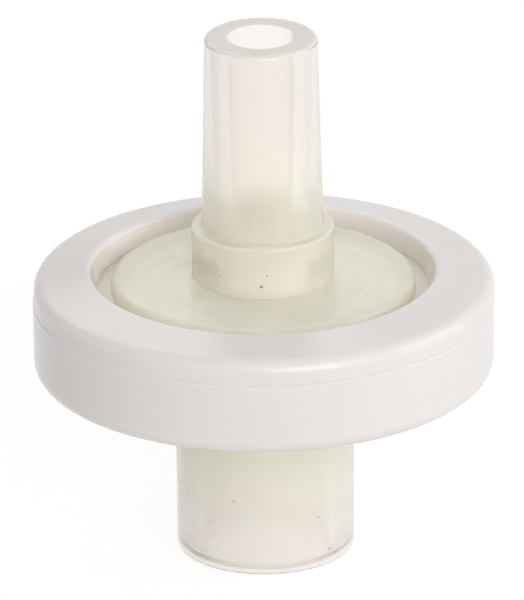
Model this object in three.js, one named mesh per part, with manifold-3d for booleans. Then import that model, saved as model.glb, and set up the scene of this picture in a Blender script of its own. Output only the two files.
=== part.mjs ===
// Syringe filter for 13 mm membranes. Two polypropylene housing halves clamp
// a membrane disc, and a ring moulded round their flanges holds them together.
// The outlet half carries a male Luer cone, the inlet half a female Luer hub.
//
// Millimetres, +Z up. The origin is the centre of the inlet hub's end face,
// which the filter stands on. Every piece is a body of revolution about Z.

import * as THREE from "three";
import { mergeVertices } from "three/addons/utils/BufferGeometryUtils.js";
import Module from "manifold-3d";

// ---------------------------------------------------------------- dimensions

// Membrane disc, and the open area inside its clamped edge
const MEMBRANE_DIAMETER = 13.0;
const MEMBRANE_THICKNESS = 0.18;
const FILTERING_DIAMETER = 9.7;

// Both housing halves
const PLATE_THICKNESS = 1.55; // membrane face to outer face
const GROOVE_DEPTH = 0.55; // outer face of the plate to the flange round it
const PLATE_EDGE_FILLET = 0.35;
const CHAMBER_DEPTH = 0.35;

// Locating rim: stands on the inlet flange, round the membrane and the outlet half
const RIM_WALL = 0.5;
const RIM_ENGAGEMENT = 0.4; // how far it reaches past the membrane
const MEMBRANE_CLEARANCE = 0.1; // membrane edge to rim
const RIM_CLEARANCE = 0.05; // outlet half to rim, beside it and above it

// Outlet: male Luer cone on a collar
const CONE_TIP_DIAMETER = 4.0;
const CONE_BASE_DIAMETER = 4.31;
const CONE_LENGTH = 7.04;
const CONE_TIP_FILLET = 0.15;
const CONE_BASE_FILLET = 0.08;
const COLLAR_DIAMETER = 5.03;
const COLLAR_HEIGHT = 1.88;
const COLLAR_EDGE_FILLET = 0.1;
const BORE_TIP_DIAMETER = 2.35;
const BORE_BASE_DIAMETER = 2.0;

// Inlet: female Luer hub
const HUB_LENGTH = 7.0; // end face to the underside of the plate
const HUB_END_DIAMETER = 6.26;
const HUB_BASE_DIAMETER = 6.34;
const HUB_END_FILLET = 0.14;
const HUB_BASE_FILLET = 0.3;
const SOCKET_MOUTH_DIAMETER = 4.3;
const SOCKET_LEAD_IN = 0.15;
const LUER_TAPER = 0.06; // loss of diameter for each millimetre of depth
const SOCKET_FLOOR = 0.7; // end of the socket to the chamber
const ORIFICE_DIAMETER = 1.4;

// Support rings in the outlet chamber, and the drain channels across them
const SUPPORT_RINGS = 4;
const SUPPORT_RING_WIDTH = 0.36;
const DRAIN_CHANNELS = 4; // each one crosses the whole chamber
const DRAIN_WIDTH = 0.5;

// Radial ribs in the inlet chamber
const INLET_RIBS = 8;
const INLET_RIB_WIDTH = 0.4;
const INLET_RIB_START = 0.9; // orifice edge to the inner end of a rib

// Moulded ring
const RING_WALL = 1.05; // flange edge to the outside, at the parting line
const RING_OVERLAP = 1.2; // how far it reaches in over each flange
const RING_DRAFT = 0.02; // loss of radius from the parting line to the foot
const RING_TOP_SLOPE = 10.5; // degrees that the top face falls by, from the lip outwards
const RING_LIP_STAND = 0.21; // top of the lip above the outlet plate
const RING_FOOT_STAND = 0.34; // foot below the inlet plate
const RING_TOP_FILLET = 0.45;
const RING_FOOT_FILLET = 0.55;
const RING_LIP_FILLET = 0.18;
const RING_LIP_DRAFT = 0.16; // how much wider the recess is at its lip
const PARTING_HEIGHT = 0.59; // parting line above the membrane
const PARTING_STEP = 0.03;
const GROOVE_WIDTH = 0.52; // lip of the ring to the edge of the plate
const FILLET_LIMIT = 0.8; // share of its wall that a fillet may take up

// Facets
const SEGMENTS = 56;
const ARC_DIVISIONS = 2; // a path turns an arc into twice this many chords
const BOOLEAN_REACH = 0.2; // how far a cutter or a rib runs past the face that it meets

// ------------------------------------------------------- radii and heights

const membraneRadius = MEMBRANE_DIAMETER / 2;
const filteringRadius = FILTERING_DIAMETER / 2;
const rimInnerRadius = membraneRadius + MEMBRANE_CLEARANCE;
const flangeRadius = rimInnerRadius + RIM_WALL;
const spigotRadius = rimInnerRadius - RIM_CLEARANCE;
const ringRadius = flangeRadius + RING_WALL;
const lipRadius = flangeRadius - RING_OVERLAP;
const plateRadius = lipRadius - GROOVE_WIDTH;
const plateEdgeFillet = Math.min(PLATE_EDGE_FILLET, FILLET_LIMIT * GROOVE_DEPTH);

const inletPlateUnderside = HUB_LENGTH;
const inletFace = inletPlateUnderside + PLATE_THICKNESS;
const inletFlangeUnderside = inletPlateUnderside + GROOVE_DEPTH;
const chamberFloor = inletFace - CHAMBER_DEPTH;
const socketEnd = chamberFloor - SOCKET_FLOOR;
const outletFace = inletFace + MEMBRANE_THICKNESS;
const chamberCeiling = outletFace + CHAMBER_DEPTH;
const rimTop = outletFace + RIM_ENGAGEMENT;
const outletPlateTop = outletFace + PLATE_THICKNESS;
const outletFlangeTop = outletPlateTop - GROOVE_DEPTH;
const collarTop = outletPlateTop + COLLAR_HEIGHT;
const tipFace = collarTop + CONE_LENGTH;

// ------------------------------------------------------------------- helpers

// Directions from the centre of an arc, in a profile of radius against height
const OUT = 0;
const UP = Math.PI / 2;
const IN = Math.PI;
const DOWN = 1.5 * Math.PI;
const CLOCKWISE = true;

// A solid of revolution from a profile drawn anticlockwise. Each profile starts
// with a line, because a path forgets where it was moved to if an arc comes first.
function revolve(profile) {
  const geometry = new THREE.LatheGeometry(profile.getPoints(ARC_DIVISIONS), SEGMENTS);
  return geometry.rotateX(Math.PI / 2);
}

const wasm = await Module();
wasm.setup();

function toManifold(geometry) {
  const bare = geometry.clone();
  bare.deleteAttribute("normal");
  bare.deleteAttribute("uv");
  const merged = mergeVertices(bare);
  return new wasm.Manifold(new wasm.Mesh({
    numProp: 3,
    vertProperties: new Float32Array(merged.attributes.position.array),
    triVerts: new Uint32Array(merged.index.array),
  }));
}

function toGeometry(manifold) {
  const mesh = manifold.getMesh();
  const geometry = new THREE.BufferGeometry();
  geometry.setAttribute("position", new THREE.BufferAttribute(mesh.vertProperties, 3));
  geometry.setIndex(new THREE.BufferAttribute(mesh.triVerts, 1));
  geometry.computeVertexNormals();
  return geometry;
}

// A bar between two heights that runs along X from one radius to another, turned about Z.
function radialBar(fromX, toX, width, bottom, top, angle) {
  const bar = new THREE.BoxGeometry(toX - fromX, width, top - bottom);
  bar.translate((fromX + toX) / 2, 0, (bottom + top) / 2);
  bar.rotateZ(angle);
  return toManifold(bar);
}

// ----------------------------------------------------------- outlet housing

// The support rings share the chamber's width evenly between the bore and its wall.
function supportRingRadii() {
  const start = BORE_BASE_DIAMETER / 2;
  const gap = (filteringRadius - start - SUPPORT_RINGS * SUPPORT_RING_WIDTH) / (SUPPORT_RINGS + 1);
  return Array.from({ length: SUPPORT_RINGS }, (_, i) => {
    const inner = start + gap * (i + 1) + SUPPORT_RING_WIDTH * i;
    return { inner, outer: inner + SUPPORT_RING_WIDTH };
  });
}

function outletProfile() {
  const coneBase = CONE_BASE_DIAMETER / 2;
  const coneTip = CONE_TIP_DIAMETER / 2;
  const collar = COLLAR_DIAMETER / 2;
  const profile = new THREE.Path();

  profile.moveTo(BORE_BASE_DIAMETER / 2, chamberCeiling);
  for (const ring of supportRingRadii()) {
    profile.lineTo(ring.inner, chamberCeiling);
    profile.lineTo(ring.inner, outletFace);
    profile.lineTo(ring.outer, outletFace);
    profile.lineTo(ring.outer, chamberCeiling);
  }
  profile.lineTo(filteringRadius, chamberCeiling);
  profile.lineTo(filteringRadius, outletFace);
  profile.lineTo(spigotRadius, outletFace);
  profile.lineTo(spigotRadius, rimTop + RIM_CLEARANCE);
  profile.lineTo(flangeRadius, rimTop + RIM_CLEARANCE);
  profile.lineTo(flangeRadius, outletFlangeTop);
  profile.lineTo(plateRadius, outletFlangeTop);
  profile.absarc(plateRadius - plateEdgeFillet, outletPlateTop - plateEdgeFillet,
    plateEdgeFillet, OUT, UP);
  profile.lineTo(collar, outletPlateTop);
  profile.absarc(collar - COLLAR_EDGE_FILLET, collarTop - COLLAR_EDGE_FILLET,
    COLLAR_EDGE_FILLET, OUT, UP);
  profile.absarc(coneBase + CONE_BASE_FILLET, collarTop + CONE_BASE_FILLET,
    CONE_BASE_FILLET, DOWN, IN, CLOCKWISE);
  profile.absarc(coneTip - CONE_TIP_FILLET, tipFace - CONE_TIP_FILLET,
    CONE_TIP_FILLET, OUT, UP);
  profile.lineTo(BORE_TIP_DIAMETER / 2, tipFace);
  profile.closePath();
  return profile;
}

// The channels end in the outermost gap between the rings and the chamber wall.
function outletHousing() {
  const outermost = supportRingRadii().at(-1);
  const reach = (outermost.outer + filteringRadius) / 2;
  let body = toManifold(revolve(outletProfile()));
  for (let i = 0; i < DRAIN_CHANNELS; i++) {
    const angle = (Math.PI * i) / DRAIN_CHANNELS;
    body = body.subtract(
      radialBar(-reach, reach, DRAIN_WIDTH, outletFace - BOOLEAN_REACH, chamberCeiling, angle));
  }
  return toGeometry(body);
}

// ------------------------------------------------------------ inlet housing

function inletProfile() {
  const mouth = SOCKET_MOUTH_DIAMETER / 2;
  const socketRadiusAt = (depth) => mouth - (LUER_TAPER / 2) * depth;
  const hubEnd = HUB_END_DIAMETER / 2;
  const hubBase = HUB_BASE_DIAMETER / 2;
  const orifice = ORIFICE_DIAMETER / 2;
  const profile = new THREE.Path();

  profile.moveTo(socketRadiusAt(SOCKET_LEAD_IN), SOCKET_LEAD_IN);
  profile.lineTo(mouth + SOCKET_LEAD_IN, 0);
  profile.absarc(hubEnd - HUB_END_FILLET, HUB_END_FILLET, HUB_END_FILLET, DOWN, OUT);
  profile.absarc(hubBase + HUB_BASE_FILLET, inletPlateUnderside - HUB_BASE_FILLET,
    HUB_BASE_FILLET, IN, UP, CLOCKWISE);
  profile.absarc(plateRadius - plateEdgeFillet, inletPlateUnderside + plateEdgeFillet,
    plateEdgeFillet, DOWN, OUT);
  profile.lineTo(plateRadius, inletFlangeUnderside);
  profile.lineTo(flangeRadius, inletFlangeUnderside);
  profile.lineTo(flangeRadius, rimTop);
  profile.lineTo(rimInnerRadius, rimTop);
  profile.lineTo(rimInnerRadius, inletFace);
  profile.lineTo(filteringRadius, inletFace);
  profile.lineTo(filteringRadius, chamberFloor);
  profile.lineTo(orifice, chamberFloor);
  profile.lineTo(orifice, socketEnd);
  profile.lineTo(socketRadiusAt(socketEnd), socketEnd);
  profile.closePath();
  return profile;
}

// The ribs run from the open middle of the chamber into its wall.
function inletHousing() {
  const start = ORIFICE_DIAMETER / 2 + INLET_RIB_START;
  let body = toManifold(revolve(inletProfile()));
  for (let i = 0; i < INLET_RIBS; i++) {
    const angle = (2 * Math.PI * i) / INLET_RIBS;
    body = body.add(radialBar(start, filteringRadius + BOOLEAN_REACH, INLET_RIB_WIDTH,
      chamberFloor - BOOLEAN_REACH, inletFace, angle));
  }
  return toGeometry(body);
}

// ----------------------------------------------------------------- membrane

function membrane() {
  const profile = new THREE.Path();
  profile.moveTo(0, inletFace);
  profile.lineTo(membraneRadius, inletFace);
  profile.lineTo(membraneRadius, outletFace);
  profile.lineTo(0, outletFace);
  return revolve(profile);
}

// ------------------------------------------------------------- moulded ring

// A C in section: it fills in round both flanges and laps over their faces. The
// sloping top face runs from the lip's fillet to the outer one, a tangent to both.
function overmouldRing() {
  const topRadius = ringRadius - PARTING_STEP;
  const footRadius = ringRadius - RING_DRAFT;
  const foot = inletPlateUnderside - RING_FOOT_STAND;
  const partingLine = outletFace + PARTING_HEIGHT;
  const topNormal = UP - THREE.MathUtils.degToRad(RING_TOP_SLOPE);
  const lipCentre = lipRadius + RING_LIP_DRAFT + RING_LIP_FILLET;
  const lipCentreHeight = outletPlateTop + RING_LIP_STAND - RING_LIP_FILLET;
  const topCentre = topRadius - RING_TOP_FILLET;
  const topCentreHeight = lipCentreHeight + (RING_LIP_FILLET - RING_TOP_FILLET
    - (topCentre - lipCentre) * Math.cos(topNormal)) / Math.sin(topNormal);
  const profile = new THREE.Path();

  profile.moveTo(flangeRadius, inletFlangeUnderside);
  profile.lineTo(lipRadius, inletFlangeUnderside);
  profile.absarc(lipCentre, foot + RING_LIP_FILLET, RING_LIP_FILLET, IN, DOWN);
  profile.absarc(footRadius - RING_FOOT_FILLET, foot + RING_FOOT_FILLET,
    RING_FOOT_FILLET, DOWN, 2 * Math.PI);
  profile.lineTo(ringRadius, partingLine);
  profile.lineTo(topRadius, partingLine);
  profile.absarc(topCentre, topCentreHeight, RING_TOP_FILLET, OUT, topNormal);
  profile.absarc(lipCentre, lipCentreHeight, RING_LIP_FILLET, topNormal, IN);
  profile.lineTo(lipRadius, outletFlangeTop);
  profile.lineTo(flangeRadius, outletFlangeTop);
  profile.closePath();
  return revolve(profile);
}

// ---------------------------------------------------------------- materials

const naturalPolypropylene = new THREE.MeshStandardMaterial({
  color: 0xdcd8c6, roughness: 0.3, metalness: 0, transparent: true, opacity: 0.85,
});
const whitePolypropylene = new THREE.MeshStandardMaterial({
  color: 0xe6e2de, roughness: 0.25, metalness: 0,
});
const membraneMaterial = new THREE.MeshStandardMaterial({
  color: 0xf6f4ee, roughness: 0.95, metalness: 0,
});

// ----------------------------------------------------------------- assembly

function piece(name, geometry, material) {
  const mesh = new THREE.Mesh(geometry, material);
  mesh.name = name;
  return mesh;
}

const syringeFilter = new THREE.Group();
syringeFilter.add(
  piece("outlet_housing", outletHousing(), naturalPolypropylene),
  piece("inlet_housing", inletHousing(), naturalPolypropylene),
  piece("membrane", membrane(), membraneMaterial),
  piece("overmould_ring", overmouldRing(), whitePolypropylene),
);

export default syringeFilter;
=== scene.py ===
"""Looks of a syringe filter, built round its packed CAD frame."""

import math

import bmesh
import bpy
from bpy.props import FloatProperty, FloatVectorProperty, IntProperty, PointerProperty
from mathutils import Matrix, Vector


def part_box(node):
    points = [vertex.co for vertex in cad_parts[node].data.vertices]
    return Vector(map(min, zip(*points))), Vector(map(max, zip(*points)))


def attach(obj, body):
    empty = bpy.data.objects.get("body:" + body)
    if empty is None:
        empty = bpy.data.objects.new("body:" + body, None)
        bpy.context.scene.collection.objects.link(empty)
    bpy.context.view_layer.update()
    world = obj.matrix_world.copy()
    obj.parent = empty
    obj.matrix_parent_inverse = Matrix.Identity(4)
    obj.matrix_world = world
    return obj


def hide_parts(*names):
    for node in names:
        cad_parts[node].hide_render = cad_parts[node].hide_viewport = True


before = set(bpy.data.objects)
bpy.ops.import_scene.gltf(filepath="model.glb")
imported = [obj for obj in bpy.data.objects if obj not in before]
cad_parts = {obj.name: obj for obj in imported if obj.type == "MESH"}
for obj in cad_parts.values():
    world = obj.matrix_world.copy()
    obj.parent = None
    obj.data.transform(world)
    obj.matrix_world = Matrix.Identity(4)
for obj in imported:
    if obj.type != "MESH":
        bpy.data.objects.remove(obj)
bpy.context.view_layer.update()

bl_info = {
    "name": "Syringe filter",
    "version": (1, 0, 0),
    "blender": (4, 5, 0),
    "location": "3D View > Sidebar > Syringe filter",
    "description": "Builds a syringe filter with a moulded ring, and the stage it stands on",
    "category": "Add Mesh",
}

MM = 0.001
SEGMENTS = 256  # round every solid of revolution
FILLET_STEPS = 8
LARGE_FILLET_STEPS = 12
HOLD = 0.02 * MM  # distance from a corner to the loops that keep its flats flat
HELD_LINE = 4 * HOLD  # lines longer than this have such loops
MERGE = 0.00001 * MM  # points closer than this are one
SHARP_ANGLE = math.radians(35)
WELD = 0.02 * MM  # how far the ring bites into the flanges it is welded to
MEMBRANE_GAP = 0.01 * MM
RIB_BITE = 0.2 * MM  # how far a rib runs into the chamber's wall and floor
CUT_MARGIN = 1 * MM  # how far the cutter of a drain channel passes the clamp face
OUTSIDE, INSIDE = 0, 1  # the two finishes of a housing half

# Directions from the centre of a fillet, in a profile of radius against height
OUT, UP, IN, DOWN, OUT_AGAIN = 0, 90, 180, 270, 360


# ------------------------------------------------------------------ settings


def length(name, millimetres, description):
    """A length in metres that a user can change."""
    return FloatProperty(
        name=name, description=description, default=millimetres * MM, min=0, precision=5,
        unit="LENGTH",
    )


def share(name, default, description, top=1.0):
    """A number from 0 to top that a user can change."""
    return FloatProperty(name=name, description=description, default=default, min=0, max=top)


def colour(name, default, description):
    """A colour that a user can change."""
    return FloatVectorProperty(
        name=name, description=description, default=default, size=3, min=0, max=1,
        subtype="COLOR",
    )


class FilterHousingSizes(bpy.types.PropertyGroup):
    """Sizes that both halves of the housing share with the membrane and the ring."""

    flange_radius: length("Flange radius", 7.1, "Outside of both flanges, inside the ring")
    rim_wall: length("Rim wall", 0.5, "Wall of the locating rim on the inlet half")
    rim_clearance: length("Rim clearance", 0.05, "Gap between the outlet half and the rim")
    rim_engagement: length("Rim engagement", 0.4, "How far the rim reaches past the membrane")
    ring_overlap: length("Ring overlap", 1.2, "How far the ring reaches in over each flange")
    groove_width: length("Groove width", 0.52, "Gap between the ring and the edge of a plate")
    groove_depth: length("Groove depth", 0.55, "Depth of that gap below the plate's top")
    plate_fillet: length("Plate fillet", 0.35, "Rounding of a plate's edge")
    filtering_radius: length("Filtering radius", 4.85, "Open area over the membrane")
    chamber_depth: length("Chamber depth", 0.35, "Space on each side of the membrane")


class FilterOutletSizes(bpy.types.PropertyGroup):
    """Sizes of the male Luer cone and its collar."""

    tip_radius: length("Tip radius", 2.0, "Radius of the cone at its tip")
    base_radius: length("Base radius", 2.155, "Radius of the cone at the collar")
    tip_fillet: length("Tip fillet", 0.15, "Rounding of the tip's outer edge")
    base_fillet: length("Base fillet", 0.08, "Rounding where the cone meets the collar")
    cone_length: length("Cone length", 7.04, "Collar to tip")
    collar_radius: length("Collar radius", 2.515, "Radius of the collar")
    collar_height: length("Collar height", 1.88, "Plate to the top of the collar")
    collar_fillet: length("Collar fillet", 0.1, "Rounding of the collar's edge")
    bore_tip_radius: length("Bore radius at the tip", 1.175, "Radius of the bore at the tip")
    bore_base_radius: length("Bore radius at the base", 1.0, "Radius where it enters the chamber")
    support_rings: IntProperty(
        name="Support rings", description="Rings that hold the membrane up", default=4, min=1)
    support_ring_width: length("Support ring width", 0.36, "Width of each support ring")
    drain_channels: IntProperty(
        name="Drain channels", description="Channels across the support rings", default=4, min=1)
    drain_width: length("Drain width", 0.5, "Width of each drain channel")


class FilterInletSizes(bpy.types.PropertyGroup):
    """Sizes of the female Luer hub."""

    end_radius: length("End radius", 3.13, "Radius of the hub at its end")
    base_radius: length("Base radius", 3.17, "Radius of the hub at the plate")
    end_fillet: length("End fillet", 0.14, "Rounding of the hub's end")
    base_fillet: length("Base fillet", 0.3, "Rounding where the hub meets the plate")
    socket_radius: length("Socket radius", 2.15, "Radius of the socket's mouth")
    lead_in: length("Lead-in", 0.15, "Chamfer round the socket's mouth")
    taper: share("Luer taper", 0.06, "Loss of diameter for each unit of depth")
    socket_floor: length("Socket floor", 0.7, "End of the socket to the chamber")
    orifice_radius: length("Orifice radius", 0.7, "Hole from the socket to the chamber")
    ribs: IntProperty(name="Ribs", description="Ribs in the chamber", default=8, min=1)
    rib_width: length("Rib width", 0.4, "Width of each rib")
    rib_start: length("Rib start", 0.9, "Orifice edge to the inner end of a rib")


class FilterRingSizes(bpy.types.PropertyGroup):
    """Sizes of the ring moulded round both flanges."""

    draft: length("Draft", 0.02, "Loss of radius from the parting line to the foot")
    top_slope: FloatProperty(
        name="Top slope", description="Fall of the top face from the lip outwards",
        subtype="ANGLE", default=math.radians(10.5))
    lip_stand: length("Lip height", 0.21, "Top of the lip above the outlet plate")
    foot_stand: length("Foot depth", 0.34, "Foot below the inlet plate")
    top_fillet: length("Top fillet", 0.45, "Rounding of the outer top edge")
    foot_fillet: length("Foot fillet", 0.55, "Rounding of the outer bottom edge")
    lip_fillet: length("Lip fillet", 0.18, "Rounding of both inner lips")
    lip_draft: length("Lip draft", 0.16, "How much wider each recess is at its lip")
    parting_height: length("Parting height", 0.59, "Parting line above the membrane")
    parting_step: length("Parting step", 0.01, "How much smaller the upper mould half is")
    mould_shift: length("Mould shift", 0.03, "How far the upper half is off the axis")
    parting_depth: length("Parting depth", 0.035, "Depth of the line between the halves")
    parting_width: length("Parting width", 0.045, "Half the width of that line")


class FilterFinish(bpy.types.PropertyGroup):
    """Colours and gloss of the three materials."""

    natural_colour: colour("Natural colour", (0.89, 0.84, 0.81), "Milky polypropylene")
    thick_colour: colour("Thick colour", (1.0, 0.945, 0.80), "The same where it is thick")
    cone_clarity: share("Cone clarity", 0.75, "How much light passes straight through")
    hub_clarity: share("Hub clarity", 0.6, "The same at the end of the hub")
    thick_clarity: share("Thick clarity", 0.42, "The same where it is thick")
    cone_roughness: share("Cone roughness", 0.08, "Gloss of the cone")
    hub_roughness: share("Hub roughness", 0.2, "Gloss of the hub's end")
    thick_roughness: share("Thick roughness", 0.25, "Gloss where it is thick")
    natural_depth: length("Natural depth", 0.3, "How far light spreads in the housing")
    natural_marks: share("Natural marks", 0.7, "Strength of the mould's marks on the housing")
    thick_reach: length("Thick reach", 1.0, "Start of the fade, inside the thick part")
    cone_reach: length("Cone reach", 6.0, "End of the fade, above the collar")
    inside_colour: colour("Inside colour", (1.0, 0.98, 0.93), "Polypropylene round the hollows")
    inside_clarity: share("Inside clarity", 0.3, "Light that passes a hollow's wall at a slant")
    chamber_clarity: share("Chamber clarity", 0.0, "Light that passes the chamber's walls")
    inside_roughness: share("Inside roughness", 0.06, "Gloss of the hollows' walls")
    inside_marks: share("Inside marks", 0.35, "Strength of the mould's marks in the hollows")
    socket_reach: length("Socket reach", 4.0, "End of the socket's fade, below the hub's end")
    white_colour: colour("White colour", (0.88, 0.838, 0.82), "Moulded ring")
    white_roughness: share("White roughness", 0.2, "Gloss of the ring")
    white_depth: length("White depth", 0.3, "How far light spreads in the ring")
    white_marks: share("White marks", 0.3, "Strength of the mould's marks on the ring")
    membrane_colour: colour("Membrane colour", (0.88, 0.87, 0.84), "Membrane disc")
    membrane_roughness: share("Membrane roughness", 0.9, "Gloss of the membrane")
    pore_colour: colour("Pore colour", (0.6, 0.6, 0.58), "Pores of the membrane")
    speck_colour: colour("Speck colour", (0.33, 0.29, 0.22), "Dark specks in the plastic")


class FilterStage(bpy.types.PropertyGroup):
    """Camera and light."""

    camera_distance: length("Camera distance", 450, "Camera to the middle of the filter")
    camera_elevation: FloatProperty(
        name="Camera elevation", description="Angle above the horizon", subtype="ANGLE",
        default=math.radians(22.18))
    camera_roll: FloatProperty(
        name="Camera roll", description="Turn about the line of sight", subtype="ANGLE",
        default=math.radians(-0.58))
    camera_focal: FloatProperty(
        name="Focal length", description="Focal length in millimetres", default=764.6)
    camera_target: length("Target height", 9.25, "Height that the camera looks at")
    camera_shift: FloatProperty(
        name="Camera shift", description="Camera's place to the right of the axis",
        default=-0.053 * MM, precision=5, unit="LENGTH")
    ambient: share("Ambient light", 0.46, "Plain light from all round", 4.0)
    key: share("Key light", 1.32, "Watts of the softbox in front", 20.0)
    side: share("Side light", 0.5, "Watts of the softbox to the right", 20.0)
    back: share("Back light", 0.35, "Watts of the softbox behind", 20.0)
    bounces: IntProperty(
        name="Bounces", description="Turns of light inside the clear plastic", default=24, min=1)
    diffuse_bounces: IntProperty(
        name="Diffuse bounces", description="Turns of light between matt faces", default=8, min=1)
    floor_shade: share("Floor shade", 0.8, "How much light the floor throws back")
    floor_glow: share("Floor glow", 0.8, "Share of the floor's white that no shadow takes")
    floor_shadow: share("Floor shadow", 0.3, "Share that a shadow takes away")


SETTINGS = {
    "filter_housing": FilterHousingSizes,
    "filter_outlet": FilterOutletSizes,
    "filter_inlet": FilterInletSizes,
    "filter_ring": FilterRingSizes,
    "filter_finish": FilterFinish,
    "filter_stage": FilterStage,
}


def heights(scene):
    """The heights that the pieces meet at, from the CAD frame and the settings."""
    membrane_low, membrane_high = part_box("membrane")
    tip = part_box("outlet_housing")[1].z
    collar_top = tip - scene.filter_outlet.cone_length
    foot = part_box("overmould_ring")[0].z
    return {
        "inlet_face": membrane_low.z,
        "outlet_face": membrane_high.z,
        "tip": tip,
        "collar_top": collar_top,
        "plate_top": collar_top - scene.filter_outlet.collar_height,
        "foot": foot,
        "plate_bottom": foot + scene.filter_ring.foot_stand,
    }


# -------------------------------------------------------------------- meshes


def fillet(radius_at, height_at, size, start, end, steps=FILLET_STEPS):
    """Points of an arc about a centre, from one direction to another in degrees."""
    angles = (math.radians(start + (end - start) * i / steps) for i in range(steps + 1))
    return [(radius_at + size * math.cos(a), height_at + size * math.sin(a)) for a in angles]


def held(outline, inside):
    """A closed outline with a point beside each end of its longer lines.

    Each point comes with the finish of the line that it starts. The first lines, as many as
    inside says, are hidden in the filter and are INSIDE.
    """
    points = []
    for i, (start, end) in enumerate(zip(outline, outline[1:] + outline[:1])):
        a, b = Vector(start), Vector(end)
        span = (b - a).length
        if span < MERGE:
            continue
        finish = INSIDE if i < inside else OUTSIDE
        points.append((a, finish))
        if span > HELD_LINE:
            points += [(a.lerp(b, HOLD / span), finish), (b.lerp(a, HOLD / span), finish)]
    return points


def new_piece(name, bm, materials):
    """An object made from the mesh in work, with its materials."""
    mesh = bpy.data.meshes.new(name)
    bm.to_mesh(mesh)
    bm.free()
    for material in materials:
        mesh.materials.append(material)
    piece = bpy.data.objects.new(name, mesh)
    bpy.context.collection.objects.link(piece)
    return piece


def revolve(name, materials, hidden, open_to_view):
    """A solid of revolution about Z, from a closed outline drawn anticlockwise.

    The outline is in two stretches, because what is hidden has a finish of its own.
    """
    points = held(hidden + open_to_view, len(hidden))
    bm = bmesh.new()
    loops = []
    for i in range(SEGMENTS):
        angle = 2 * math.pi * i / SEGMENTS
        cos, sin = math.cos(angle), math.sin(angle)
        loops.append([bm.verts.new((p.x * cos, p.x * sin, p.y)) for p, _ in points])
    count = len(points)
    for here, there in zip(loops, loops[1:] + loops[:1]):
        for j in range(count):
            k = (j + 1) % count
            face = bm.faces.new((here[j], there[j], there[k], here[k]))
            face.material_index = points[j][1]
    bm.normal_update()
    return new_piece(name, bm, materials)


def bars(materials, count, turn, start, end, width, bottom, top):
    """Straight bars about Z in one mesh, each from one distance to another along its own X."""
    bm = bmesh.new()
    size = Vector((end - start, width, top - bottom))
    middle = Vector(((start + end) / 2, 0, (bottom + top) / 2))
    for i in range(count):
        place = Matrix.Rotation(turn * i / count, 4, "Z") @ Matrix.Translation(middle)
        bmesh.ops.create_cube(bm, size=1, matrix=place @ Matrix.Diagonal(size.to_4d()))
    for face in bm.faces:
        face.material_index = INSIDE
    return new_piece("bars", bm, materials)


def combine(piece, tool, operation):
    """Cuts the tool from the piece or joins it on, and removes the tool."""
    modifier = piece.modifiers.new("combine", "BOOLEAN")
    modifier.operation = operation
    modifier.object = tool
    modifier.solver = "MANIFOLD"
    bpy.context.view_layer.objects.active = piece
    bpy.ops.object.modifier_apply(modifier=modifier.name)
    bpy.data.objects.remove(tool, do_unlink=True)


def finish_piece(piece, node):
    """Smooth shading, and the piece's place in the frame."""
    piece.data.shade_smooth()
    piece.data.set_sharp_from_angle(angle=SHARP_ANGLE)
    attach(piece, "root")
    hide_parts(node)


# ----------------------------------------------------------------- materials

IOR = 1.49  # of polypropylene
NATURAL_SPREAD = (1.0, 0.9, 0.7)  # how far red, green and blue light spread in the housing
WHITE_SPREAD = (1.0, 0.9, 0.8)  # the same in the ring

# Marks of the turned mould, with their noise in cells to the metre
TURNING_CELLS, TURNING_DETAIL = 9000, 3.0
TURNING_STRETCH = (0.4, 1, 1)  # the rings are wider across a face than up a wall
TURNING_SHARE = 0.3  # height of the rings against the waviness
WAVE_CELLS, WAVE_DETAIL = 900, 1.0
MARK_HEIGHT = 0.01 * MM

# Uneven fade from thick to thin plastic
CLOUD_CELLS = 350
CLOUD_HEIGHT = 0.8 * MM

# The plastic clouds between these distances below the tip's matt face, down to a share
MATT_START, MATT_FULL = 0.1 * MM, 0.05 * MM
MATT_CLARITY = 0.1

# Slant at which the wall of a hollow starts to cloud, and at which it is at its cloudiest
SLANT_BLEND = 0.35
SLANT_START, SLANT_FULL = 0.2, 0.9

PORE_CELLS, PORE_DETAIL = 20000, 4.0
PORE_LOW, PORE_HIGH = 0.35, 0.65  # noise at which a pore starts, and is at its darkest
PORE_SHADE = 0.08  # share of the pore colour where it is at its darkest
PORE_STRENGTH = 0.4

SPECK_CORE = 0.45  # share of a speck's radius that is fully dark

# Each speck is a spot in millimetres and its radius
OUTLET_SPECKS = (
    ((-0.07, -2.51, 10.77), 0.075),
    ((0.14, -2.51, 11.19), 0.04),
    ((-1.48, -2.03, 10.99), 0.04),
    ((-2.9, -3.4, 10.28), 0.04),
    ((3.6, -2.2, 10.28), 0.035),
)
INLET_SPECKS = (
    ((-1.13, -2.94, 2.78), 0.045),
    ((-1.98, -2.45, 1.82), 0.035),
    ((1.87, -2.53, 1.97), 0.04),
    ((2.26, -2.19, 0.61), 0.06),
)
RING_SPECKS = (
    ((-5.08, -5.07, 10.32), 0.04),
)


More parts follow.
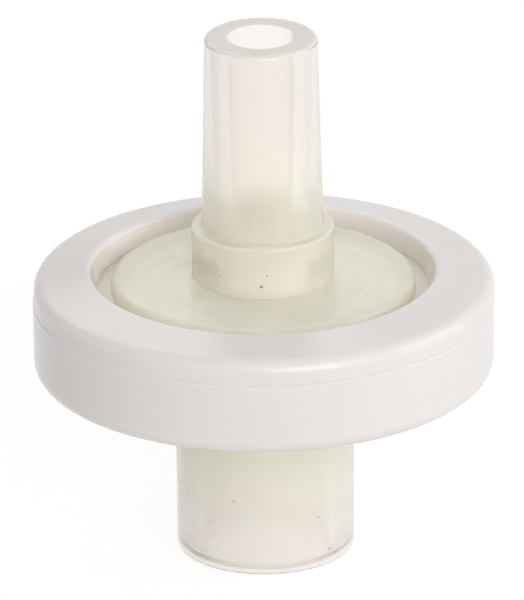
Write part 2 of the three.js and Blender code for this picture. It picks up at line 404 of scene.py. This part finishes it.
class Nodes:
    """Short calls that add nodes to a material or a world, and link them."""

    def __init__(self, tree):
        self.tree = tree
        tree.nodes.clear()

    def add(self, kind, inputs=None, **settings):
        """A node with its settings, and its inputs linked or set by name or number."""
        node = self.tree.nodes.new("ShaderNode" + kind)
        for key, value in settings.items():
            setattr(node, key, value)
        for key, value in (inputs or {}).items():
            if isinstance(value, bpy.types.NodeSocket):
                self.tree.links.new(value, node.inputs[key])
            else:
                node.inputs[key].default_value = value
        return node

    def math(self, operation, *values):
        """The result of a sum of one or two values."""
        return self.add("Math", dict(enumerate(values)), operation=operation).outputs[0]

    def ramp(self, value, low, high, to_low=0.0, to_high=1.0):
        """A value taken smoothly from one range to another."""
        inputs = {"Value": value, "From Min": low, "From Max": high,
                  "To Min": to_low, "To Max": to_high}
        return self.add("MapRange", inputs, interpolation_type="SMOOTHSTEP").outputs[0]

    def mix(self, factor, a, b):
        """A colour between two others."""
        # The colours' sockets share their names with others, so they go by number
        node = self.add("Mix", data_type="RGBA")
        for socket, value in ((node.inputs[0], factor), (node.inputs[6], a), (node.inputs[7], b)):
            if isinstance(value, bpy.types.NodeSocket):
                self.tree.links.new(value, socket)
            else:
                socket.default_value = value
        return node.outputs[2]

    def point(self):
        """The point on the piece, in metres."""
        return self.add("TexCoord").outputs["Object"]

    def place(self):
        """The point on the piece, its height and its distance from the axis."""
        point = self.point()
        x, y, height = self.add("SeparateXYZ", {0: point}).outputs
        square = self.math("ADD", self.math("MULTIPLY", x, x), self.math("MULTIPLY", y, y))
        return point, height, self.math("SQRT", square)

    def near(self, point, spot, radius):
        """1 at a spot, falling to 0 at a radius from it."""
        away = self.add("VectorMath", {0: point, 1: spot}, operation="DISTANCE").outputs["Value"]
        return self.ramp(away, radius * SPECK_CORE, radius, 1.0, 0.0)

    def noise(self, point, per_metre, detail=2.0, stretch=(1, 1, 1)):
        """Noise of so many cells to the metre, stretched along the axes."""
        scaled = self.add("VectorMath", {0: point, 1: stretch}, operation="MULTIPLY").outputs[0]
        inputs = {"Vector": scaled, "Scale": per_metre, "Detail": detail}
        return self.add("TexNoise", inputs).outputs["Fac"]


def rgba(values):
    """A colour property with full alpha."""
    return (*values, 1.0)


def new_material(name):
    """A material and the helper for its nodes."""
    material = bpy.data.materials.new(name)
    material.use_nodes = True
    return material, Nodes(material.node_tree)


def specked(nodes, point, colour_in, speck_colour, specks):
    """A colour with small dark specks at the given spots, each with its radius."""
    for spot, radius in specks:
        mask = nodes.near(point, Vector(spot) * MM, radius * MM)
        colour_in = nodes.mix(mask, colour_in, speck_colour)
    return colour_in


def bump(nodes, relief, strength):
    """The normal of a surface that a relief roughens."""
    inputs = {"Height": relief, "Strength": strength, "Distance": MARK_HEIGHT}
    return nodes.add("Bump", inputs).outputs[0]


def mould_marks(nodes, point, height, radius, strength):
    """Bump of fine rings left by the turned mould, and a faint waviness."""
    section = nodes.add("CombineXYZ", {0: radius, 1: 0.0, 2: height}).outputs[0]
    rings = nodes.noise(section, TURNING_CELLS, TURNING_DETAIL, TURNING_STRETCH)
    waves = nodes.noise(point, WAVE_CELLS, WAVE_DETAIL)
    relief = nodes.math("ADD", nodes.math("MULTIPLY", rings, TURNING_SHARE), waves)
    return bump(nodes, relief, strength)


def natural_polypropylene(finish, name, specks, thick, thin, thin_clarity, thin_roughness):
    """Milky translucent plastic, yellower where it is thick than where it is thin.

    thick and thin are heights. Light that leaves the plastic isn't clouded a second time.
    """
    material, nodes = new_material(name)
    point, height, radius = nodes.place()
    cloud = nodes.math("MULTIPLY", nodes.noise(point, CLOUD_CELLS), CLOUD_HEIGHT)
    clouded = nodes.math("ADD", height, cloud)
    thinness = nodes.ramp(clouded, thick, thin)
    base = nodes.mix(thinness, rgba(finish.thick_colour), rgba(finish.natural_colour))
    base = specked(nodes, point, base, rgba(finish.speck_colour), specks)
    leaving = nodes.add("NewGeometry").outputs["Backfacing"]
    clarity = nodes.ramp(clouded, thick, thin, finish.thick_clarity, thin_clarity)
    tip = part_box("outlet_housing")[1].z
    end = nodes.ramp(height, tip - MATT_START, tip - MATT_FULL, 1.0, MATT_CLARITY)
    clarity = nodes.math("MAXIMUM", leaving, nodes.math("MULTIPLY", clarity, end))
    shader = nodes.add("BsdfPrincipled", {
        "Base Color": base,
        "Roughness": nodes.ramp(clouded, thick, thin, finish.thick_roughness, thin_roughness),
        "IOR": IOR,
        "Subsurface Weight": 1.0,
        "Subsurface Radius": NATURAL_SPREAD,
        "Subsurface Scale": finish.natural_depth,
        "Transmission Weight": clarity,
        "Normal": mould_marks(nodes, point, height, radius, finish.natural_marks),
    })
    nodes.add("OutputMaterial", {"Surface": shader.outputs[0]})
    return material


def clear_polypropylene(finish, name, hazy, clear):
    """The same plastic where it faces a hidden hollow, hazy round the membrane.

    hazy and clear are heights. At a slant the wall of a hollow is less clear.
    """
    material, nodes = new_material(name)
    point, height, radius = nodes.place()
    facing = nodes.add("LayerWeight", {"Blend": SLANT_BLEND}).outputs["Facing"]
    slant = nodes.ramp(facing, SLANT_START, SLANT_FULL, 1.0, finish.inside_clarity)
    clarity = nodes.ramp(height, hazy, clear, finish.chamber_clarity, slant)
    shader = nodes.add("BsdfPrincipled", {
        "Base Color": rgba(finish.inside_colour),
        "Roughness": finish.inside_roughness,
        "IOR": IOR,
        "Transmission Weight": clarity,
        "Normal": mould_marks(nodes, point, height, radius, finish.inside_marks),
    })
    nodes.add("OutputMaterial", {"Surface": shader.outputs[0]})
    return material


def white_polypropylene(finish, name, specks):
    """Opaque glossy plastic of the moulded ring."""
    material, nodes = new_material(name)
    point, height, radius = nodes.place()
    base = specked(nodes, point, rgba(finish.white_colour), rgba(finish.speck_colour), specks)
    shader = nodes.add("BsdfPrincipled", {
        "Base Color": base,
        "Roughness": finish.white_roughness,
        "IOR": IOR,
        "Subsurface Weight": 1.0,
        "Subsurface Radius": WHITE_SPREAD,
        "Subsurface Scale": finish.white_depth,
        "Normal": mould_marks(nodes, point, height, radius, finish.white_marks),
    })
    nodes.add("OutputMaterial", {"Surface": shader.outputs[0]})
    return material


def membrane_material(finish):
    """Matt microporous film."""
    material, nodes = new_material("membrane_film")
    pores = nodes.noise(nodes.point(), PORE_CELLS, PORE_DETAIL)
    shade = nodes.ramp(pores, PORE_LOW, PORE_HIGH, 0.0, PORE_SHADE)
    shader = nodes.add("BsdfPrincipled", {
        "Base Color": nodes.mix(shade, rgba(finish.membrane_colour), rgba(finish.pore_colour)),
        "Roughness": finish.membrane_roughness,
        "Normal": bump(nodes, pores, PORE_STRENGTH),
    })
    nodes.add("OutputMaterial", {"Surface": shader.outputs[0]})
    return material


# -------------------------------------------------------------------- pieces


def support_ring_radii(housing, outlet):
    """Inner and outer radius of each ring that holds the membrane up."""
    start = outlet.bore_base_radius
    count, width = outlet.support_rings, outlet.support_ring_width
    gap = (housing.filtering_radius - start - count * width) / (count + 1)
    inner = [start + gap * (i + 1) + width * i for i in range(count)]
    return [(radius, radius + width) for radius in inner]


class FILTER_OT_outlet_housing(bpy.types.Operator):
    """Adds the outlet half: Luer cone, collar, plate, flange and membrane support"""

    bl_idname = "filter.outlet_housing"
    bl_label = "Outlet housing"

    def execute(self, context):
        scene = context.scene
        housing, outlet = scene.filter_housing, scene.filter_outlet
        at = heights(scene)
        face = at["outlet_face"] + MEMBRANE_GAP
        ceiling = at["outlet_face"] + housing.chamber_depth
        collar_top, plate_top = at["collar_top"], at["plate_top"]
        flange_top = plate_top - housing.groove_depth
        shoulder = at["outlet_face"] + housing.rim_engagement + housing.rim_clearance
        lip = housing.flange_radius - housing.ring_overlap
        plate = lip - housing.groove_width
        spigot = housing.flange_radius - housing.rim_wall - housing.rim_clearance
        rings = support_ring_radii(housing, outlet)

        hidden = [(outlet.bore_tip_radius, at["tip"]), (outlet.bore_base_radius, ceiling)]
        for inner, outer in rings:
            hidden += [(inner, ceiling), (inner, face), (outer, face), (outer, ceiling)]
        hidden += [
            (housing.filtering_radius, ceiling),
            (housing.filtering_radius, face),
            (spigot, face),
            (spigot, shoulder),
            (housing.flange_radius, shoulder),
            (housing.flange_radius, flange_top),
        ]
        shown = [(lip, flange_top), (plate, flange_top)]
        size = housing.plate_fillet
        shown += fillet(plate - size, plate_top - size, size, OUT, UP)
        size = outlet.collar_fillet
        shown.append((outlet.collar_radius, plate_top))
        shown += fillet(outlet.collar_radius - size, collar_top - size, size, OUT, UP)
        size = outlet.base_fillet
        shown += fillet(outlet.base_radius + size, collar_top + size, size, DOWN, IN)
        size = outlet.tip_fillet
        shown += fillet(outlet.tip_radius - size, at["tip"] - size, size, OUT, UP)

        finish = scene.filter_finish
        materials = (
            natural_polypropylene(finish, "outlet_polypropylene", OUTLET_SPECKS,
                                  collar_top - finish.thick_reach,
                                  collar_top + finish.cone_reach,
                                  finish.cone_clarity, finish.cone_roughness),
            clear_polypropylene(finish, "outlet_hollows", plate_top, collar_top),
        )
        piece = revolve("outlet_housing_body", materials, hidden, shown)
        reach = (rings[-1][1] + housing.filtering_radius) / 2
        combine(piece, bars(materials, outlet.drain_channels, math.pi, -reach, reach,
                            outlet.drain_width, face - CUT_MARGIN, ceiling), "DIFFERENCE")
        finish_piece(piece, "outlet_housing")
        return {"FINISHED"}


class FILTER_OT_inlet_housing(bpy.types.Operator):
    """Adds the inlet half: Luer hub, socket, plate, flange, locating rim and ribs"""

    bl_idname = "filter.inlet_housing"
    bl_label = "Inlet housing"

    def execute(self, context):
        scene = context.scene
        housing, inlet = scene.filter_housing, scene.filter_inlet
        at = heights(scene)
        face = at["inlet_face"] - MEMBRANE_GAP
        floor = at["inlet_face"] - housing.chamber_depth
        socket_end = floor - inlet.socket_floor
        rim_top = at["outlet_face"] + housing.rim_engagement
        underside = at["plate_bottom"]
        flange_bottom = underside + housing.groove_depth
        lip = housing.flange_radius - housing.ring_overlap
        plate = lip - housing.groove_width
        rim = housing.flange_radius - housing.rim_wall

        hidden = [
            (lip, flange_bottom),
            (housing.flange_radius, flange_bottom),
            (housing.flange_radius, rim_top),
            (rim, rim_top),
            (rim, face),
            (housing.filtering_radius, face),
            (housing.filtering_radius, floor),
            (inlet.orifice_radius, floor),
            (inlet.orifice_radius, socket_end),
            (inlet.socket_radius - inlet.taper / 2 * socket_end, socket_end),
            (inlet.socket_radius - inlet.taper / 2 * inlet.lead_in, inlet.lead_in),
        ]
        shown = [(inlet.socket_radius + inlet.lead_in, 0)]
        size = inlet.end_fillet
        shown += fillet(inlet.end_radius - size, size, size, DOWN, OUT_AGAIN)
        size = inlet.base_fillet
        shown += fillet(inlet.base_radius + size, underside - size, size, IN, UP)
        size = housing.plate_fillet
        shown += fillet(plate - size, underside + size, size, DOWN, OUT_AGAIN)
        shown.append((plate, flange_bottom))

        finish = scene.filter_finish
        materials = (
            natural_polypropylene(finish, "inlet_polypropylene", INLET_SPECKS,
                                  underside - finish.thick_reach, 0,
                                  finish.hub_clarity, finish.hub_roughness),
            clear_polypropylene(finish, "inlet_hollows", underside, -finish.socket_reach),
        )
        piece = revolve("inlet_housing_body", materials, hidden, shown)
        start = inlet.orifice_radius + inlet.rib_start
        combine(piece, bars(materials, inlet.ribs, 2 * math.pi, start,
                            housing.filtering_radius + RIB_BITE, inlet.rib_width,
                            floor - RIB_BITE, face - MEMBRANE_GAP), "UNION")
        finish_piece(piece, "inlet_housing")
        return {"FINISHED"}


class FILTER_OT_moulded_ring(bpy.types.Operator):
    """Adds the ring that is moulded round both flanges"""

    bl_idname = "filter.moulded_ring"
    bl_label = "Moulded ring"

    def execute(self, context):
        scene = context.scene
        housing, ring = scene.filter_housing, scene.filter_ring
        at = heights(scene)
        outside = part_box("overmould_ring")[1].x
        parting = at["outlet_face"] + ring.parting_height
        lip = housing.flange_radius - housing.ring_overlap
        flange_top = at["plate_top"] - housing.groove_depth - WELD
        flange_bottom = at["plate_bottom"] + housing.groove_depth + WELD
        flange = housing.flange_radius - WELD
        slope = ring.top_slope
        rim, foot_rim = outside - ring.parting_step, outside - ring.draft
        lip_centre = lip + ring.lip_draft + ring.lip_fillet
        lip_height = at["plate_top"] + ring.lip_stand - ring.lip_fillet
        top_centre = rim - ring.top_fillet
        top_height = lip_height + (ring.lip_fillet - ring.top_fillet) / math.cos(slope) - (
            top_centre - lip_centre) * math.tan(slope)
        normal = UP - math.degrees(slope)

        outline = [(lip, flange_bottom)]
        outline += fillet(lip_centre, at["foot"] + ring.lip_fillet, ring.lip_fillet, IN, DOWN)
        size = ring.foot_fillet
        outline += fillet(foot_rim - size, at["foot"] + size, size, DOWN, OUT_AGAIN,
                          LARGE_FILLET_STEPS)
        width = ring.parting_width
        outline += [(outside, parting - width), (outside - ring.parting_depth, parting)]
        outline += [(rim, parting + width)]
        outline += fillet(top_centre, top_height, ring.top_fillet, OUT, normal,
                          LARGE_FILLET_STEPS)
        outline += fillet(lip_centre, lip_height, ring.lip_fillet, normal, IN)
        outline += [(lip, flange_top), (flange, flange_top), (flange, flange_bottom)]

        material = white_polypropylene(scene.filter_finish, "white_polypropylene", RING_SPECKS)
        piece = revolve("moulded_ring_body", (material,), [], outline)
        for vertex in piece.data.vertices:
            place = vertex.co
            if place.z > parting + MERGE and place.xy.length > flange + MERGE:
                place.x += ring.mould_shift
        finish_piece(piece, "overmould_ring")
        return {"FINISHED"}


class FILTER_OT_membrane(bpy.types.Operator):
    """Gives the membrane disc its finish"""

    bl_idname = "filter.membrane"
    bl_label = "Membrane"

    def execute(self, context):
        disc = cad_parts["membrane"]
        disc.data.materials.clear()
        disc.data.materials.append(membrane_material(context.scene.filter_finish))
        return {"FINISHED"}


# --------------------------------------------------------------------- stage

SENSOR_WIDTH = 36  # millimetres
CLIP_START = 10 * MM
LAMP_DISTANCE = 0.5
LAMP_TARGET = Vector((0, 0, 10 * MM))
FLOOR_RADIUS = 1.5
FLOOR_SEGMENTS = 96


def add_camera(stage):
    """A long lens, in front of the filter and above it."""
    target = Vector((0, 0, stage.camera_target))
    elevation = stage.camera_elevation
    back = Vector((0, -math.cos(elevation), math.sin(elevation)))
    side = Vector((stage.camera_shift, 0, 0))
    data = bpy.data.cameras.new("camera")
    data.lens = stage.camera_focal
    data.sensor_width = SENSOR_WIDTH
    data.clip_start = CLIP_START
    camera = bpy.data.objects.new("camera", data)
    upright = back.to_track_quat("Z", "Y").to_matrix().to_4x4()
    roll = Matrix.Rotation(stage.camera_roll, 4, "Z")
    camera.matrix_world = (Matrix.Translation(target + side + back * stage.camera_distance)
                           @ upright @ roll)
    bpy.context.collection.objects.link(camera)
    bpy.context.scene.camera = camera


def add_softbox(name, azimuth, elevation, width, height, power):
    """A rectangular lamp that faces the filter. Azimuth 0 is in front, 90 to the right."""
    a, e = math.radians(azimuth), math.radians(elevation)
    away = Vector((math.sin(a) * math.cos(e), -math.cos(a) * math.cos(e), math.sin(e)))
    data = bpy.data.lights.new(name, "AREA")
    data.shape = "RECTANGLE"
    data.size = width
    data.size_y = height
    data.energy = power
    lamp = bpy.data.objects.new(name, data)
    lamp.matrix_world = (Matrix.Translation(LAMP_TARGET + away * LAMP_DISTANCE)
                         @ away.to_track_quat("Z", "Y").to_matrix().to_4x4())
    bpy.context.collection.objects.link(lamp)


def seen_directly(nodes):
    """1 for what the camera sees, also in a reflection or through clear plastic."""
    path = nodes.add("LightPath").outputs
    mirrored = nodes.math("MAXIMUM", path["Is Glossy Ray"], path["Is Transmission Ray"])
    return nodes.math("MAXIMUM", path["Is Camera Ray"], mirrored)


def add_world(stage):
    """White to the eye and in reflections, and plain soft light elsewhere."""
    world = bpy.data.worlds.new("studio")
    world.use_nodes = True
    nodes = Nodes(world.node_tree)
    strength = nodes.ramp(seen_directly(nodes), 0.0, 1.0, stage.ambient, 1.0)
    background = nodes.add("Background", {"Color": (1, 1, 1, 1), "Strength": strength})
    nodes.add("OutputWorld", {"Surface": background.outputs[0]})
    bpy.context.scene.world = world


def add_floor(stage):
    """A pale floor that keeps a soft shadow of the filter."""
    mesh = bpy.data.meshes.new("floor")
    bm = bmesh.new()
    bmesh.ops.create_circle(bm, cap_ends=True, segments=FLOOR_SEGMENTS, radius=FLOOR_RADIUS)
    bm.to_mesh(mesh)
    bm.free()
    floor = bpy.data.objects.new("floor", mesh)
    bpy.context.collection.objects.link(floor)
    material, nodes = new_material("pale_floor")
    diffuse = nodes.add("BsdfDiffuse", {"Color": (*[stage.floor_shade] * 3, 1)}).outputs[0]
    glow = nodes.add("Emission", {"Color": (1, 1, 1, 1), "Strength": stage.floor_glow}).outputs[0]
    shadow = nodes.add("BsdfDiffuse", {"Color": (*[stage.floor_shadow] * 3, 1)}).outputs[0]
    white = nodes.add("AddShader", {0: shadow, 1: glow}).outputs[0]
    surface = nodes.add("MixShader", {0: seen_directly(nodes), 1: diffuse, 2: white}).outputs[0]
    nodes.add("OutputMaterial", {"Surface": surface})
    mesh.materials.append(material)


class FILTER_OT_stage(bpy.types.Operator):
    """Adds the camera, the lamps, the world and the floor"""

    bl_idname = "filter.stage"
    bl_label = "Stage"

    def execute(self, context):
        stage = context.scene.filter_stage
        add_camera(stage)
        add_world(stage)
        add_floor(stage)
        add_softbox("key_softbox", azimuth=20, elevation=15,
                    width=0.30, height=0.40, power=stage.key)
        add_softbox("side_softbox", azimuth=95, elevation=20,
                    width=0.30, height=0.40, power=stage.side)
        add_softbox("back_softbox", azimuth=200, elevation=42,
                    width=0.40, height=0.30, power=stage.back)
        context.scene.view_settings.view_transform = "Standard"
        cycles = context.scene.cycles
        cycles.max_bounces = stage.bounces
        cycles.glossy_bounces = stage.bounces
        cycles.transmission_bounces = stage.bounces
        cycles.diffuse_bounces = stage.diffuse_bounces
        return {"FINISHED"}


# --------------------------------------------------------------------- panel


class FILTER_PT_panel(bpy.types.Panel):
    """Lists the pieces of the filter and its stage"""

    bl_idname = "FILTER_PT_panel"
    bl_label = "Syringe filter"
    bl_space_type = "VIEW_3D"
    bl_region_type = "UI"
    bl_category = "Syringe filter"

    def draw(self, context):
        for operator in OPERATORS:
            self.layout.operator(operator.bl_idname)
        for name, group in SETTINGS.items():
            box = self.layout.box()
            box.label(text=group.__doc__)
            for prop in group.__annotations__:
                box.prop(getattr(context.scene, name), prop)


OPERATORS = (
    FILTER_OT_stage,
    FILTER_OT_outlet_housing,
    FILTER_OT_inlet_housing,
    FILTER_OT_membrane,
    FILTER_OT_moulded_ring,
)
CLASSES = (*SETTINGS.values(), *OPERATORS, FILTER_PT_panel)


def register():
    for cls in CLASSES:
        bpy.utils.register_class(cls)
    for name, group in SETTINGS.items():
        setattr(bpy.types.Scene, name, PointerProperty(type=group))


def unregister():
    for name in SETTINGS:
        delattr(bpy.types.Scene, name)
    for cls in reversed(CLASSES):
        bpy.utils.unregister_class(cls)


def main():
    register()
    bpy.ops.filter.stage()
    bpy.ops.filter.outlet_housing()
    bpy.ops.filter.inlet_housing()
    bpy.ops.filter.membrane()
    bpy.ops.filter.moulded_ring()


if __name__ == "__main__":
    main()
